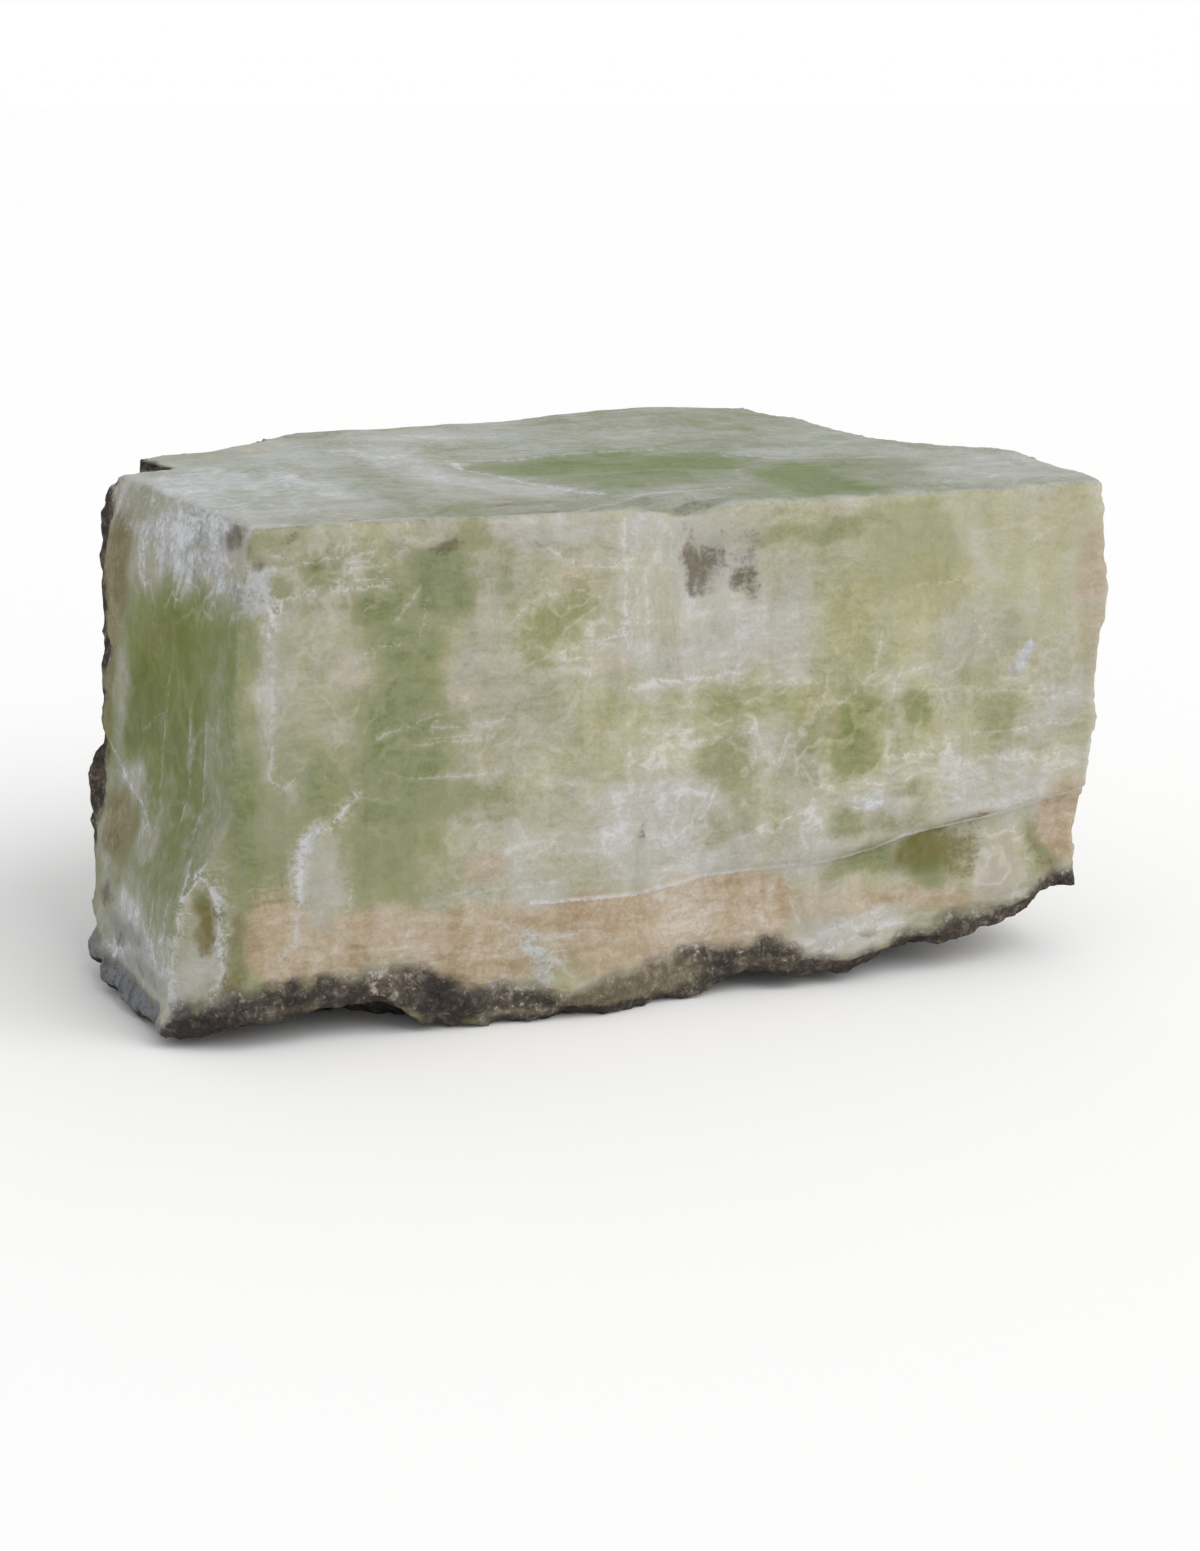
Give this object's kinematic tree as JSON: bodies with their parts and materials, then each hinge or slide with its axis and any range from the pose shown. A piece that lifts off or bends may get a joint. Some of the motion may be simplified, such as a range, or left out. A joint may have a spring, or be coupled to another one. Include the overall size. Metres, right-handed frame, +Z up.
{
  "type": "raw green calcite block",
  "caption": "Rough translucent green calcite cleavage block with a ledge low on its front, flat faces and a lumpy dark rind under its foot and on its back.",
  "frame": {"origin": "on the floor, under the middle of the block's box", "axes": "+Z up, +X along the long front face towards its right end, -Y out of the front face"},
  "size_m": [0.1072, 0.0652, 0.0546],
  "materials": {
    "calcite": "Frosted, milky green translucent calcite with clearer olive windows, white bruises, a tan rind band and a rough brown-black crust under the foot and on the back."
  },
  "bodies": {
    "root": {"calcite_block": "calcite"}
  },
  "joints": []
}
